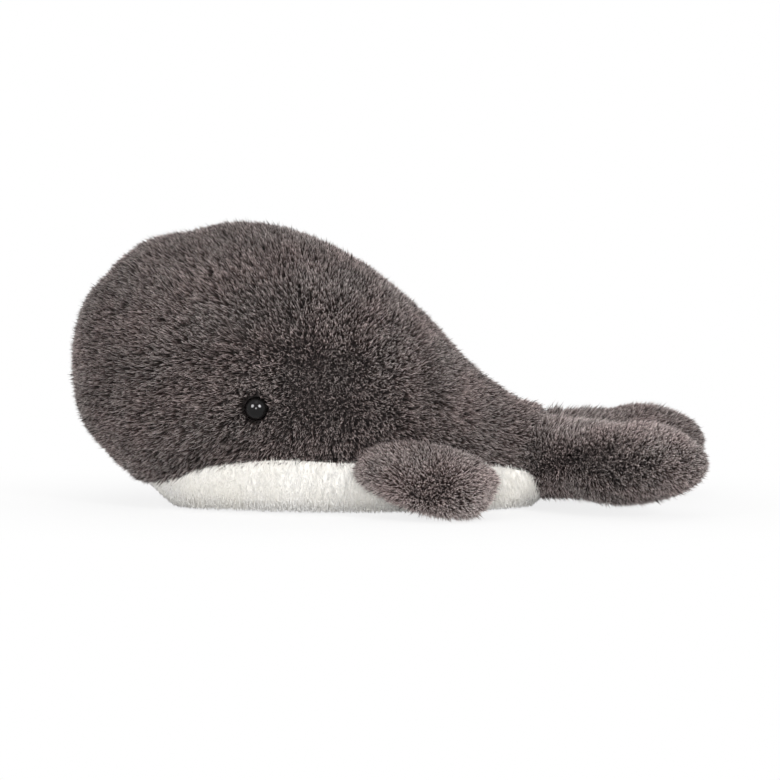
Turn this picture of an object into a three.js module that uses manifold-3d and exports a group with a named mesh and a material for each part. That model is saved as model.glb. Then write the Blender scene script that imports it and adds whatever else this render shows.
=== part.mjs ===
// A plush whale: panels of long-pile plush sewn round stuffing, with a pouch of pellets in its base,
// two safety eyes, two stuffed flippers and two stuffed tail flukes.
// Lengths are millimetres. X runs from the nose (-X) to the tail (+X), -Y is the whale's left side and
// +Z is up. The origin is under the middle of the whale, on the surface that it lies on.
// The outer faces of the plush are where the tips of its pile lie.
import * as THREE from "three";
import { mergeVertices } from "three/addons/utils/BufferGeometryUtils.js";
import Module from "manifold-3d";

const wasm = await Module();
wasm.setup();

// Driving sizes of the body
const bodyLength = 166; // from the nose to the line that the flukes bend about
const flukeReach = 74; // from that line to the tips of the flukes
const bodyHeight = 107;
const bodyWidth = 94;
const restingCut = 0.5; // how deep the belly is pressed flat by what it lies on
const upperRoundness = 2.15; // exponent of the section above its widest line; 2 is an ellipse
const chinRoundness = 2.3; // exponent of the section under its widest line, at the nose
const baseRoundness = 4.8; // the same farther back, where pellets press the base out flat
const tailRoundness = 1.35; // exponent of the tail's round end; 1 is a full arc
const widestHeightShare = 0.42; // height of a section's widest line, as a share of its height

// Plush, seams and what they close
const plushThickness = 5; // backing cloth with its pile
const seamGap = 0.3;
const hingeClearance = 0.5;

// Flippers
const flipperLength = 40.5; // from the side seam to the tip
const flipperChord = 39;
const flipperThickness = 19.5;
const flipperRootDepth = 14; // length of the lobe that the cut at the side seam takes off
const flipperSweep = THREE.MathUtils.degToRad(57);
const flipperUpRange = THREE.MathUtils.degToRad(45);
const flipperDownRange = THREE.MathUtils.degToRad(30);
const flipperAlongShare = 0.739; // place of the root's middle on the body's length
const flipperRestShare = 0.477; // the part of the flipper's length at which it comes down to rest

// Flukes
const flukeRootGap = 4.4; // the part of the flukes' reach that their own length doesn't cover
const flukeChord = 42;
const flukeThickness = 34;
const flukeSplay = THREE.MathUtils.degToRad(36);
const flukeLift = THREE.MathUtils.degToRad(2.3);
const flukeRootOffset = 2.5; // from the whale's middle to the start of a fluke's centre line
const flukeRootDrop = 3.4; // how far that start lies below the tail's middle

// Eyes and their washers
const eyeRadius = 4.5;
const eyeHeight = 5.4;
const eyeRim = 1; // straight part under the dome
const eyeSunk = 3; // how deep the back of the dome sits in the pile
const stemRadius = 1.6;
const stemLength = 12;
const washerRadius = 6.5;
const washerThickness = 1.4;
const eyeAlongShare = 0.439;
const eyeHeightShare = 0.374;

// Pouch of pellets
const pouchLength = 92;
const pouchWidth = 60;
const pouchHeight = 26;
const pouchAlongShare = 0.5;

// Facets
const outerRings = 2; // rings for each row of a form's shares
const innerRings = 1;
const bodySides = 24;
const limbSides = 14;
const roundSides = 14;
const domeSteps = 4;
const tailArcRows = 3;
const hingeFacets = 36;
const seamSteps = 26;
const halvings = 40; // of a search along a curve
const slopeShare = 0.001; // step of a slope, as a share of a surface's length or of a turn

// Places that follow from the sizes above
const overallLength = bodyLength + flukeReach;
const noseX = -overallLength / 2;
const tailHingeX = noseX + bodyLength;
const flukeLength = (flukeReach - flukeRootGap) / Math.cos(flukeSplay);
const beyond = 2 * overallLength; // longer than anything that it cuts

// Body stations from the nose to the tail hinge: share of the length, top and bottom as shares of the
// height, half width as a share of the widest half width, and the share of the way that the section's
// lower half has gone from the chin's roundness to the base's.
const bodyStationShares = [
  [0, 0.505, 0.505, 0, 0],
  [0.024, 0.71, 0.296, 0.447, 0],
  [0.084, 0.832, 0.17, 0.67, 0],
  [0.163, 0.93, 0.072, 0.819, 0.1],
  [0.265, 0.968, 0.006, 0.915, 0.35],
  [0.386, 1, 0, 0.968, 0.7],
  [0.518, 0.963, 0, 1, 1],
  [0.663, 0.853, 0, 0.985, 1],
  [0.795, 0.686, 0, 0.872, 1],
  [0.904, 0.505, 0, 0.7, 1],
  [1, 0.395, 0.0075, 0.51, 0.8],
];

// The seam between the grey sides and the white belly: share of the body's length and of its height.
const seamShares = [
  [0.12, 0.033],
  [0.163, 0.071],
  [0.217, 0.095],
  [0.265, 0.12],
  [0.301, 0.152],
  [0.392, 0.18],
  [0.494, 0.196],
  [0.633, 0.187],
  [0.813, 0.18],
  [0.94, 0.172],
  [1, 0.155],
  [1.054, 0.128],
  [1.084, 0.08],
  [1.102, -0.03],
];

// The limbs from root to tip: share of the length, of the half chord and of the half thickness. A fluke
// grows out of the tail narrow and thick.
const flipperShares = [
  [0, 0, 0],
  [0.035, 0.42, 0.45],
  [0.14, 0.76, 0.78],
  [0.36, 0.93, 0.98],
  [0.62, 1, 1],
  [0.84, 0.84, 0.84],
  [0.96, 0.58, 0.58],
  [1, 0, 0],
];
const flukeShares = [
  [0, 0, 0],
  [0.035, 0.25, 0.6],
  [0.14, 0.54, 0.88],
  [0.36, 0.82, 0.86],
  [0.62, 1, 0.96],
  [0.84, 0.9, 0.75],
  [0.96, 0.53, 0.43],
  [1, 0, 0],
];

// What lies past the last row on the far side of a round end.
const pastBodyEnd = (end, next) => [next[0], next[2], next[1], -next[3], next[4]];
const pastLobeEnd = (end, next) => [next[0], -next[1], -next[2]];
const pastOpenEnd = (end, next) => end.map((value, column) => 2 * value - next[column]);

// A smooth curve through rows of values; position counts rows.
function smoothRow(rows, pastEnd, position) {
  const last = rows.length - 1;
  const start = Math.min(Math.max(Math.floor(position), 0), last - 1);
  const t = Math.min(Math.max(position - start, 0), 1);
  const before = start > 0 ? rows[start - 1] : pastEnd(rows[0], rows[1]);
  const after = start + 1 < last ? rows[start + 2] : pastEnd(rows[last], rows[last - 1]);
  return rows[start].map((from, column) => {
    const to = rows[start + 1][column];
    const slopeFrom = (to - before[column]) / 2;
    const slopeTo = (after[column] - from) / 2;
    const bend = 2 * (from - to) + slopeFrom + slopeTo;
    const lean = 3 * (to - from) - 2 * slopeFrom - slopeTo;
    return ((bend * t + lean) * t + slopeFrom) * t + from;
  });
}

// The same curve, read at a value of its first column, which grows from row to row.
function smoothRowAt(rows, pastEnd, x) {
  let low = 0;
  let high = rows.length - 1;
  for (let halving = 0; halving < halvings; halving++) {
    const middle = (low + high) / 2;
    if (smoothRow(rows, pastEnd, middle)[0] < x) low = middle;
    else high = middle;
  }
  return smoothRow(rows, pastEnd, low);
}

// The body's rows in millimetres. Past the tail hinge the body ends inside an arc about the hinge line,
// which is what the flukes turn on.
function bodyRows() {
  const rows = bodyStationShares.map(([along, top, bottom, width, boxy]) => [
    noseX + along * bodyLength,
    top * bodyHeight,
    bottom * bodyHeight - restingCut,
    (width * bodyWidth) / 2,
    chinRoundness + boxy * (baseRoundness - chinRoundness),
  ]);
  const [hingeX, top, bottom, halfWidth, roundness] = rows[rows.length - 1];
  const middle = (top + bottom) / 2;
  const radius = (top - bottom) / 2;
  for (let step = 1; step <= tailArcRows; step++) {
    const turn = (step / tailArcRows) * (Math.PI / 2);
    const shrink = step < tailArcRows ? Math.cos(turn) : 0;
    const halfHeight = radius * shrink ** tailRoundness;
    rows.push([
      hingeX + radius * Math.sin(turn),
      middle + halfHeight,
      middle - halfHeight,
      halfWidth * Math.sqrt(shrink),
      roundness,
    ]);
  }
  return { rows, tailZ: middle, tailRadius: radius };
}

const { rows: whaleRows, tailZ, tailRadius } = bodyRows();
const seamRows = seamShares.map(([along, height]) => [noseX + along * bodyLength, height * bodyHeight]);

// A point of a section whose widest line is between two round halves.
function sectionPoint([x, top, bottom, halfWidth, roundness], turn) {
  const widest = bottom + widestHeightShare * (top - bottom);
  const upper = Math.sin(turn) >= 0;
  const power = 2 / (upper ? upperRoundness : roundness);
  const across = Math.abs(Math.cos(turn)) ** power * Math.sign(Math.cos(turn));
  const rise = Math.abs(Math.sin(turn)) ** power * (upper ? top - widest : bottom - widest);
  return new THREE.Vector3(x, halfWidth * across, widest + rise);
}

// Half the body's width at a place along it and a height.
function halfWidthAt(x, z) {
  const [, top, bottom, halfWidth, roundness] = smoothRowAt(whaleRows, pastBodyEnd, x);
  const widest = bottom + widestHeightShare * (top - bottom);
  const upper = z > widest;
  const power = upper ? upperRoundness : roundness;
  const rise = Math.abs((z - widest) / ((upper ? top : bottom) - widest));
  return halfWidth * (1 - rise ** power) ** (1 / power);
}

// A point on the left side of the body, and the direction that the plush faces there.
function leftSide(x, z) {
  const step = slopeShare * bodyLength;
  const alongSlope = (halfWidthAt(x + step, z) - halfWidthAt(x - step, z)) / (2 * step);
  const heightSlope = (halfWidthAt(x, z + step) - halfWidthAt(x, z - step)) / (2 * step);
  return {
    point: new THREE.Vector3(x, -halfWidthAt(x, z), z),
    outward: new THREE.Vector3(-alongSlope, -1, -heightSlope).normalize(),
    along: new THREE.Vector3(1, -alongSlope, 0).normalize(),
  };
}

// A closed surface of rings between two end points; pointAt takes a share of the way and a turn.
function loft(rings, sides, pointAt) {
  const points = [pointAt(0, 0)];
  for (let ring = 1; ring < rings; ring++) {
    for (let side = 0; side < sides; side++) points.push(pointAt(ring / rings, (2 * Math.PI * side) / sides));
  }
  points.push(pointAt(1, 0));
  const at = (ring, side) => 1 + (ring - 1) * sides + (side % sides);
  const faces = [];
  for (let side = 0; side < sides; side++) {
    faces.push(0, at(1, side + 1), at(1, side));
    faces.push(points.length - 1, at(rings - 1, side), at(rings - 1, side + 1));
    for (let ring = 1; ring < rings - 1; ring++) {
      faces.push(at(ring, side), at(ring, side + 1), at(ring + 1, side + 1));
      faces.push(at(ring, side), at(ring + 1, side + 1), at(ring + 1, side));
    }
  }
  const geometry = new THREE.BufferGeometry().setFromPoints(points);
  geometry.setIndex(faces);
  return geometry;
}

// The whole body, smaller by an inset taken square to its surface.
function bodyForm(inset) {
  const spans = whaleRows.length - 1;
  const skin = (share, turn) => sectionPoint(smoothRow(whaleRows, pastBodyEnd, share * spans), turn);
  const pointAt = (share, turn) => {
    const point = skin(share, turn);
    if (share === 0) return point.setX(point.x + inset);
    if (share === 1) return point.setX(point.x - inset);
    const along = skin(share + slopeShare, turn).sub(skin(share - slopeShare, turn));
    const around = skin(share, turn + slopeShare).sub(skin(share, turn - slopeShare));
    return point.addScaledVector(around.cross(along).normalize(), -inset);
  };
  return solid(loft(spans * (inset > 0 ? innerRings : outerRings), bodySides, pointAt));
}

// A stuffed lobe lying along +X with its chord along Y, smaller by an inset on every side.
function lobeForm(shares, length, chord, thickness, inset) {
  const spans = shares.length - 1;
  const pointAt = (share, turn) => {
    const [along, wide, thick] = smoothRow(shares, pastLobeEnd, share * spans);
    return new THREE.Vector3(
      inset + along * (length - 2 * inset),
      wide * (chord / 2 - inset) * Math.cos(turn),
      thick * (thickness / 2 - inset) * Math.sin(turn),
    );
  };
  return loft(spans * (inset > 0 ? innerRings : outerRings), limbSides, pointAt);
}

// A closed body that can be cut and joined.
function solid(geometry) {
  geometry.deleteAttribute("normal");
  geometry.deleteAttribute("uv");
  const merged = mergeVertices(geometry);
  const corners = merged.index.array;
  const faces = [];
  for (let first = 0; first < corners.length; first += 3) {
    const face = corners.slice(first, first + 3);
    if (new Set(face).size === 3) faces.push(...face);
  }
  return new wasm.Manifold(
    new wasm.Mesh({
      numProp: 3,
      vertProperties: merged.attributes.position.array,
      triVerts: Uint32Array.from(faces),
    }),
  );
}

function geometryOf(body) {
  const mesh = body.getMesh();
  const geometry = new THREE.BufferGeometry();
  geometry.setAttribute("position", new THREE.BufferAttribute(mesh.vertProperties, 3));
  geometry.setIndex(new THREE.BufferAttribute(mesh.triVerts, 1));
  geometry.computeVertexNormals();
  return geometry;
}

// The same piece for the right side of the whale.
function mirrored(geometry) {
  const other = geometry.clone();
  other.scale(1, -1, 1);
  const index = other.index.array;
  for (let corner = 0; corner < index.length; corner += 3) {
    [index[corner], index[corner + 1]] = [index[corner + 1], index[corner]];
  }
  other.computeVertexNormals();
  return other;
}

// Everything on one side of the plane through the origin that faces along X, Y or Z.
function halfSpace(x, y, z) {
  const box = new THREE.BoxGeometry(beyond, beyond, beyond);
  return box.translate((x * beyond) / 2, (y * beyond) / 2, (z * beyond) / 2);
}

const aboveFloor = () => solid(halfSpace(0, 0, 1));
const rightOf = (y) => solid(halfSpace(0, 1, 0).translate(0, y, 0));

// Everything below the seam of the belly, with the seam moved up by a rise.
function belowSeam(rise) {
  const front = seamRows[0][0];
  const length = seamRows[seamRows.length - 1][0] - front;
  const edge = [];
  for (let step = 0; step <= seamSteps; step++) {
    const [x, z] = smoothRowAt(seamRows, pastOpenEnd, front + (step / seamSteps) * length);
    edge.push(new THREE.Vector2(x, z + rise));
  }
  const shape = new THREE.Shape(edge);
  shape.lineTo(front + length, -bodyHeight);
  shape.lineTo(front, -bodyHeight);
  const geometry = new THREE.ExtrudeGeometry(shape, { depth: beyond, bevelEnabled: false });
  return solid(geometry.rotateX(Math.PI / 2).translate(0, beyond / 2, 0));
}

// The left eye's place. A shape made about +Z goes there with +Z pointing out of the plush.
const eyeX = noseX + eyeAlongShare * bodyLength;
const eyeSeat = leftSide(eyeX, eyeHeightShare * bodyHeight);
function atEye(geometry) {
  const turn = new THREE.Quaternion().setFromUnitVectors(new THREE.Vector3(0, 0, 1), eyeSeat.outward);
  return geometry.applyQuaternion(turn).translate(eyeSeat.point.x, eyeSeat.point.y, eyeSeat.point.z);
}

// A round bar along Z between two depths below the pile tips of the eye's place.
function eyeBar(radius, deep, shallow) {
  const bar = new THREE.CylinderGeometry(radius, radius, deep - shallow, roundSides);
  return solid(atEye(bar.rotateX(Math.PI / 2).translate(0, 0, -(deep + shallow) / 2)));
}

// The washer lies flat inside the curved plush, so its rim clears the curve.
const washerDepth = plushThickness + seamGap + washerRadius ** 2 / bodyWidth;
const stemDepth = eyeSunk + stemLength;

function eye() {
  const profile = [new THREE.Vector2(0, -stemDepth), new THREE.Vector2(stemRadius, -stemDepth)];
  profile.push(new THREE.Vector2(stemRadius, -eyeSunk), new THREE.Vector2(eyeRadius, -eyeSunk));
  for (let step = 0; step <= domeSteps; step++) {
    const turn = (step / domeSteps) * (Math.PI / 2);
    const radius = step < domeSteps ? eyeRadius * Math.cos(turn) : 0;
    const rise = eyeRim + (eyeHeight - eyeRim) * Math.sin(turn);
    profile.push(new THREE.Vector2(radius, rise - eyeSunk));
  }
  const geometry = new THREE.LatheGeometry(profile, roundSides).rotateX(Math.PI / 2);
  return geometryOf(solid(atEye(geometry)));
}

function eyeWasher() {
  const disc = eyeBar(washerRadius, washerDepth + washerThickness, washerDepth);
  const hole = eyeBar(stemRadius + seamGap, stemDepth, 0);
  return geometryOf(disc.subtract(hole));
}

// Body panels, stuffing and pouch
const bodyOuter = bodyForm(0).intersect(aboveFloor());
const bodyShell = bodyOuter.subtract(bodyForm(plushThickness));
const stuffedSpace = bodyForm(plushThickness + seamGap);

function sidePanel() {
  const pocket = eyeBar(eyeRadius + seamGap, eyeSunk + seamGap, -eyeHeight);
  const stemHole = eyeBar(stemRadius + seamGap, stemDepth, 0);
  const half = bodyShell.subtract(rightOf(-seamGap / 2)).subtract(belowSeam(seamGap / 2));
  return geometryOf(half.subtract(pocket).subtract(stemHole));
}

function bellyPanel() {
  return geometryOf(bodyShell.intersect(belowSeam(-seamGap / 2)));
}

function pouchForm(extra) {
  const ball = new THREE.SphereGeometry(1, roundSides, roundSides / 2).rotateX(Math.PI / 2);
  ball.scale(pouchLength / 2 + extra, pouchWidth / 2 + extra, pouchHeight + extra);
  return solid(ball.translate(noseX + pouchAlongShare * bodyLength, 0, plushThickness));
}

function pelletPouch() {
  return geometryOf(stuffedSpace.intersect(pouchForm(0)));
}

function bodyStuffing() {
  const room = eyeBar(washerRadius + seamGap, stemDepth + seamGap, 0);
  const otherRoom = solid(mirrored(geometryOf(room)));
  return geometryOf(stuffedSpace.subtract(pouchForm(seamGap)).subtract(room).subtract(otherRoom));
}

// The flipper's plane holds its hinge line, which runs along the side seam. Its frame has X along that
// line to the nose, Y out along the flipper and Z up, square to it.
const flipperX = noseX + flipperAlongShare * bodyLength;
const flipperSeat = leftSide(flipperX, smoothRowAt(seamRows, pastOpenEnd, flipperX)[1]);
const flipperHinge = flipperSeat.point.clone().addScaledVector(flipperSeat.outward, seamGap);
const flipperDrop = (flipperHinge.z - flipperThickness / 2) / (flipperRestShare * flipperLength);

function flipperFrame() {
  const droop = Math.asin(flipperDrop);
  const toNose = flipperSeat.along.clone().negate();
  const level = toNose.clone().cross(new THREE.Vector3(0, 0, 1)).negate();
  const out = level.multiplyScalar(Math.cos(droop)).setZ(-Math.sin(droop));
  return { toNose, out, up: toNose.clone().cross(out) };
}

function flipper() {
  const { toNose, out, up } = flipperFrame();
  const place = new THREE.Matrix4().makeBasis(toNose, out, up).setPosition(flipperHinge);
  const lobeAt = (inset) => {
    const length = flipperLength + flipperRootDepth;
    const lobe = lobeForm(flipperShares, length, flipperChord, flipperThickness, inset);
    lobe.translate(-flipperRootDepth, 0, 0).rotateZ(Math.PI / 2 + flipperSweep);
    return solid(lobe.applyMatrix4(place));
  };
  // The root is cut to a wedge whose edge is the hinge line, so that it clears the side at both limits.
  const lean = Math.atan2(flipperSeat.outward.dot(up), flipperSeat.outward.dot(out));
  const above = Math.PI / 2 + lean - flipperUpRange;
  const below = Math.PI / 2 - lean - flipperDownRange;
  const upperCut = solid(halfSpace(0, 0, 1).rotateX(above).applyMatrix4(place));
  const lowerCut = solid(halfSpace(0, 0, -1).rotateX(-below).applyMatrix4(place));
  return limbPieces(lobeAt, place, upperCut.add(lowerCut));
}

// The root of a fluke is hollowed to the round end of the body, and the two flukes part in the middle.
function fluke() {
  const place = new THREE.Matrix4().makeRotationZ(-flukeSplay);
  place.multiply(new THREE.Matrix4().makeRotationY(-flukeLift));
  const lobe = (inset) => lobeForm(flukeShares, flukeLength, flukeChord, flukeThickness, inset);
  const tip = lobe(0).applyMatrix4(place);
  tip.computeBoundingBox();
  place.setPosition(overallLength / 2 - tip.boundingBox.max.x, -flukeRootOffset, tailZ - flukeRootDrop);
  const lobeAt = (inset) => solid(lobe(inset).applyMatrix4(place));
  const socketRadius = tailRadius + hingeClearance;
  const socket = new THREE.CylinderGeometry(socketRadius, socketRadius, beyond, hingeFacets);
  const socketCut = solid(socket.translate(tailHingeX, 0, tailZ));
  return limbPieces(lobeAt, place, socketCut.add(rightOf(-seamGap / 2)));
}

// The two plush panels of a limb, which meet in its middle plane, and its stuffing.
function limbPieces(lobeAt, place, rootCut) {
  const shell = lobeAt(0).subtract(lobeAt(plushThickness)).subtract(rootCut);
  const above = solid(halfSpace(0, 0, 1).translate(0, 0, -seamGap / 2).applyMatrix4(place));
  const below = solid(halfSpace(0, 0, -1).translate(0, 0, seamGap / 2).applyMatrix4(place));
  return {
    upper_panel: geometryOf(shell.subtract(below)),
    under_panel: geometryOf(shell.subtract(above)),
    stuffing: geometryOf(lobeAt(plushThickness + seamGap).subtract(rootCut)),
  };
}

// Finishes
const finishes = {
  greyPlush: new THREE.MeshStandardMaterial({ color: "#5f5757", roughness: 0.95, metalness: 0 }),
  whitePlush: new THREE.MeshStandardMaterial({ color: "#f3f1ee", roughness: 0.95, metalness: 0 }),
  fibre: new THREE.MeshStandardMaterial({ color: "#eeeeea", roughness: 1, metalness: 0 }),
  pouchCloth: new THREE.MeshStandardMaterial({ color: "#e2ddd2", roughness: 0.9, metalness: 0 }),
  eyeGloss: new THREE.MeshStandardMaterial({ color: "#0b0b0c", roughness: 0.08, metalness: 0 }),
  washerPlastic: new THREE.MeshStandardMaterial({ color: "#dcdcd8", roughness: 0.5, metalness: 0 }),
};

const whale = new THREE.Group();

function add(name, geometry, finish) {
  const mesh = new THREE.Mesh(geometry, finish);
  mesh.name = name;
  whale.add(mesh);
}

function addPair(name, geometry, finish) {
  add(name.replace("SIDE", "left"), geometry, finish);
  add(name.replace("SIDE", "right"), mirrored(geometry), finish);
}

addPair("side_panel_SIDE", sidePanel(), finishes.greyPlush);
add("belly_panel", bellyPanel(), finishes.whitePlush);
add("body_stuffing", bodyStuffing(), finishes.fibre);
add("pellet_pouch", pelletPouch(), finishes.pouchCloth);
addPair("eye_SIDE", eye(), finishes.eyeGloss);
addPair("eye_washer_SIDE", eyeWasher(), finishes.washerPlastic);

for (const [limb, pieces] of Object.entries({ flipper: flipper(), fluke: fluke() })) {
  for (const [piece, geometry] of Object.entries(pieces)) {
    const finish = piece === "stuffing" ? finishes.fibre : finishes.greyPlush;
    addPair(`${limb}_SIDE_${piece}`, geometry, finish);
  }
}

export default whale;
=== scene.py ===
import math
from collections import namedtuple

import bmesh
import bpy
import numpy as np
from mathutils import Matrix, Vector


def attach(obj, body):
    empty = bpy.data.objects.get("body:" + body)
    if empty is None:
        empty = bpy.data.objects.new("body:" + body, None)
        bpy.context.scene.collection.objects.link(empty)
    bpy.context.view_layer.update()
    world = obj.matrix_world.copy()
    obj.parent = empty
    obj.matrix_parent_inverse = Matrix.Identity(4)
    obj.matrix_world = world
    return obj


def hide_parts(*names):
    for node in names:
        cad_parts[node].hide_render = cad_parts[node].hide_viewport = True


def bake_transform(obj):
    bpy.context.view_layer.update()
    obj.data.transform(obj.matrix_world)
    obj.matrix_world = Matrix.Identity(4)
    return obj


# A plush whale: long pile on grey and white panels, stuffed body, flippers and flukes, gloss eyes.
# Lengths are metres. X runs from the nose (-X) to the tail (+X), -Y is the whale's left side, +Z is up.
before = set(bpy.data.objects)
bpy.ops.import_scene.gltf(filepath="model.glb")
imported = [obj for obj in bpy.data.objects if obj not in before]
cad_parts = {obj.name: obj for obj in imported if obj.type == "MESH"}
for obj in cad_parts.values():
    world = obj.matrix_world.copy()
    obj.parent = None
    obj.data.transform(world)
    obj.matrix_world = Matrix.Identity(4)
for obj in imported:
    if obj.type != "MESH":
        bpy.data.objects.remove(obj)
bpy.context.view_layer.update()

# Driving sizes of the body
BODY_LENGTH = 0.166
FLUKE_REACH = 0.074
BODY_HEIGHT = 0.107
BODY_WIDTH = 0.094
RESTING_CUT = 0.0005
UPPER_ROUNDNESS = 2.15
CHIN_ROUNDNESS = 2.3
BASE_ROUNDNESS = 4.8
TAIL_ROUNDNESS = 1.35
WIDEST_HEIGHT_SHARE = 0.42
PLUSH_THICKNESS = 0.005
SEAM_GAP = 0.0003

# Flippers
FLIPPER_LENGTH = 0.0405
FLIPPER_CHORD = 0.039
FLIPPER_THICKNESS = 0.0195
FLIPPER_ROOT_DEPTH = 0.014
FLIPPER_SWEEP = math.radians(57)
FLIPPER_ALONG_SHARE = 0.739
FLIPPER_REST_SHARE = 0.477
FLIPPER_WHORL_SHARE = 0.6  # where along it the pile parts towards its root and its tip

# Flukes
FLUKE_ROOT_GAP = 0.0044
FLUKE_CHORD = 0.042
FLUKE_THICKNESS = 0.034
FLUKE_SPLAY = math.radians(36)
FLUKE_LIFT = math.radians(2.3)
FLUKE_ROOT_OFFSET = 0.0025
FLUKE_ROOT_DROP = 0.0034
FLUKE_WHORL_SHARE = 0
FLUKE_LENGTH = (FLUKE_REACH - FLUKE_ROOT_GAP) / math.cos(FLUKE_SPLAY)

# Eyes
EYE_RADIUS = 0.0045
EYE_HEIGHT = 0.0054
EYE_RIM = 0.001
EYE_SUNK = 0.003
STEM_RADIUS = 0.0016
STEM_LENGTH = 0.012
STEM_TIP_SHARE = 0.1  # of its length, plain beyond the last ring
STEM_GRIP_SHARE = 0.8  # of its length, which carries the rings
STEM_TIP_WIDTH_SHARE = 0.7
STEM_GROOVE_WIDTH_SHARE = 0.82
STEM_RINGS = 7
RING_SLOPE = 0.0004
RING_EDGE = 0.0001
EYE_BACK_SHARE = 0.94  # of the eye's radius, flat at its back
EYE_BACK_ROUND = 0.0003
EYE_ALONG_SHARE = 0.439
EYE_HEIGHT_SHARE = 0.374

# The cloth under the pile
CLOTH_DEPTH = 0.0043  # from the tips of the pile to the cloth's outer face
BELLY_CLOTH_DEPTH = 0.0006  # the white pile is matted, so its ground lies higher
ROOT_SINK = 0.0003  # the strands start inside the cloth

# Places that follow from the sizes above
OVERALL_LENGTH = BODY_LENGTH + FLUKE_REACH
NOSE_X = -OVERALL_LENGTH / 2
TAIL_HINGE_X = NOSE_X + BODY_LENGTH
TAIL_ARC_ROWS = 3

# Body stations from the nose to the tail hinge: share of the length, top and bottom as shares of the
# height, half width as a share of the widest half width, and the share of the way that the section's
# lower half has gone from the chin's roundness to the base's.
BODY_STATION_SHARES = [
    (0, 0.505, 0.505, 0, 0),
    (0.024, 0.71, 0.296, 0.447, 0),
    (0.084, 0.832, 0.17, 0.67, 0),
    (0.163, 0.93, 0.072, 0.819, 0.1),
    (0.265, 0.968, 0.006, 0.915, 0.35),
    (0.386, 1, 0, 0.968, 0.7),
    (0.518, 0.963, 0, 1, 1),
    (0.663, 0.853, 0, 0.985, 1),
    (0.795, 0.686, 0, 0.872, 1),
    (0.904, 0.505, 0, 0.7, 1),
    (1, 0.395, 0.0075, 0.51, 0.8),
]

# The seam between the grey sides and the white belly: share of the body's length and of its height.
SEAM_SHARES = [
    (0.12, 0.033),
    (0.163, 0.071),
    (0.217, 0.095),
    (0.265, 0.12),
    (0.301, 0.152),
    (0.392, 0.18),
    (0.494, 0.196),
    (0.633, 0.187),
    (0.813, 0.18),
    (0.94, 0.172),
    (1, 0.155),
    (1.054, 0.128),
    (1.084, 0.08),
    (1.102, -0.03),
]

# The limbs from root to tip: share of the length, of the half chord and of the half thickness.
FLIPPER_SHARES = [
    (0, 0, 0),
    (0.035, 0.42, 0.45),
    (0.14, 0.76, 0.78),
    (0.36, 0.93, 0.98),
    (0.62, 1, 1),
    (0.84, 0.84, 0.84),
    (0.96, 0.58, 0.58),
    (1, 0, 0),
]
FLUKE_SHARES = [
    (0, 0, 0),
    (0.035, 0.25, 0.6),
    (0.14, 0.54, 0.88),
    (0.36, 0.82, 0.86),
    (0.62, 1, 0.96),
    (0.84, 0.9, 0.75),
    (0.96, 0.53, 0.43),
    (1, 0, 0),
]

TINY = 1e-9  # keeps a division away from zero
TINIEST = 1e-12  # the same, for a vector's length
rng = np.random.default_rng(7)
SIDES = ("left", "right")


# Curves and forms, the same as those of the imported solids

def unit(vectors):
    return vectors / np.maximum(np.linalg.norm(vectors, axis=-1, keepdims=True), TINIEST)


def past_body_end(end, following):
    return [following[0], following[2], following[1], -following[3], following[4]]


def past_lobe_end(end, following):
    return [following[0], -following[1], -following[2]]


def past_open_end(end, following):
    return [2 * here - there for here, there in zip(end, following)]


def smooth_rows(rows, past_end, position):
    """A smooth curve through rows of values; position counts rows."""
    before_first = past_end(rows[0], rows[1])
    after_last = past_end(rows[-1], rows[-2])
    table = np.array([before_first, *rows, after_last], float)
    position = np.clip(position, 0, len(rows) - 1)
    start = np.minimum(position.astype(int), len(rows) - 2)
    t = (position - start)[..., None]
    before, here, there, after = (table[start + step] for step in range(4))
    slope_here = (there - before) / 2
    slope_there = (after - here) / 2
    bend = 2 * (here - there) + slope_here + slope_there
    lean = 3 * (there - here) - 2 * slope_here - slope_there
    return ((bend * t + lean) * t + slope_here) * t + here


def body_rows():
    rows = [
        (
            NOSE_X + along * BODY_LENGTH,
            top * BODY_HEIGHT,
            bottom * BODY_HEIGHT - RESTING_CUT,
            width * BODY_WIDTH / 2,
            CHIN_ROUNDNESS + boxy * (BASE_ROUNDNESS - CHIN_ROUNDNESS),
        )
        for along, top, bottom, width, boxy in BODY_STATION_SHARES
    ]
    hinge_x, top, bottom, half_width, roundness = rows[-1]
    middle = (top + bottom) / 2
    radius = (top - bottom) / 2
    for step in range(1, TAIL_ARC_ROWS + 1):
        turn = step / TAIL_ARC_ROWS * math.pi / 2
        shrink = math.cos(turn) if step < TAIL_ARC_ROWS else 0
        half_height = radius * shrink**TAIL_ROUNDNESS
        row_x = hinge_x + radius * math.sin(turn)
        row_width = half_width * math.sqrt(shrink)
        rows.append((row_x, middle + half_height, middle - half_height, row_width, roundness))
    return rows, middle, radius


WHALE_ROWS, TAIL_Z, TAIL_RADIUS = body_rows()
BODY_SPANS = len(WHALE_ROWS) - 1
DENSE = 1200  # readings of a curve that is read by its first column
dense_rows = smooth_rows(WHALE_ROWS, past_body_end, np.linspace(0, BODY_SPANS, DENSE))
seam_rows = [(NOSE_X + along * BODY_LENGTH, height * BODY_HEIGHT) for along, height in SEAM_SHARES]
dense_seam = smooth_rows(seam_rows, past_open_end, np.linspace(0, len(seam_rows) - 1, DENSE))


def seam_height(x):
    return np.interp(x, dense_seam[:, 0], dense_seam[:, 1], left=-BODY_HEIGHT, right=-BODY_HEIGHT)


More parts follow.
